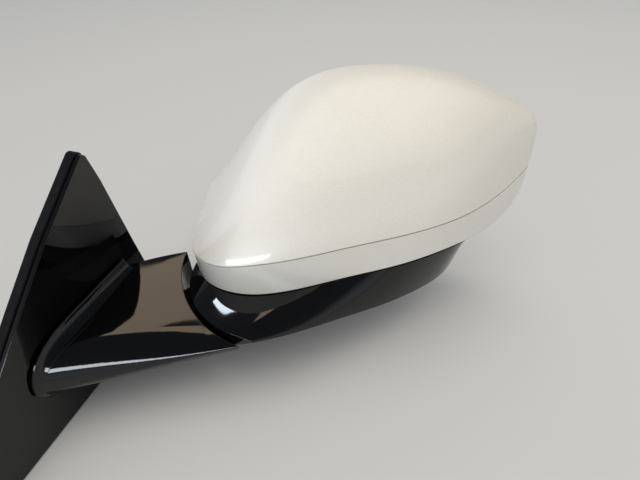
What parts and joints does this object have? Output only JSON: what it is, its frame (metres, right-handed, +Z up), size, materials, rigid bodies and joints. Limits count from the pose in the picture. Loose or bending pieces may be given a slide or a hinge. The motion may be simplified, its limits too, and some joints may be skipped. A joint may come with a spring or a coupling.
{
  "type": "door mirror",
  "caption": "Left door mirror with a domed painted cap, black lower housing, blade arm, triangular door panel, folding pivot and a tilting glass.",
  "frame": {"origin": "centre of the bracket's door side face, where the harness bore and the three fixings are", "axes": "+X away from the car, +Y towards the rear of the car, +Z up"},
  "size_m": [0.279, 0.3394, 0.185],
  "materials": {
    "cast_alloy": "as cast",
    "gloss_black": "polished",
    "seal_rubber": "matt",
    "matt_black": "grained",
    "steel": "turned",
    "hub_polymer": "smooth",
    "pearl_white": "pearl lacquer over moulded plastic",
    "mirror": "silvered"
  },
  "bodies": {
    "base": {"mount_bracket": "cast_alloy", "sail_panel": "gloss_black", "sail_seal": "seal_rubber", "foot_gasket": "seal_rubber", "arm_upper": "gloss_black", "arm_lower": "matt_black", "pivot_post": "steel"},
    "head": {"lower_housing": "gloss_black", "cap_upper": "pearl_white", "cap_band": "pearl_white", "rear_bezel": "matt_black", "inner_carrier": "hub_polymer", "actuator_case": "hub_polymer", "pivot_hub": "hub_polymer"},
    "gimbal": {"gimbal_ring": "hub_polymer"},
    "glass": {"glass_holder": "matt_black", "mirror_glass": "mirror"}
  },
  "joints": [
    {"name": "fold", "type": "hinge", "parent": "base", "child": "head", "pos_m": [0.118, 0.092, 0], "axis": [0, 0, 1], "range_deg": [0, 60]},
    {"name": "glass_pan", "type": "hinge", "parent": "head", "child": "gimbal", "pos_m": [0.15748, 0.15105, 0.06], "axis": [0, 0, 1], "range_deg": [-5, 5]},
    {"name": "glass_tilt", "type": "hinge", "parent": "gimbal", "child": "glass", "pos_m": [0.15748, 0.15105, 0.06], "axis": [0.9848, 0.1736, 0], "range_deg": [-5, 5]}
  ]
}
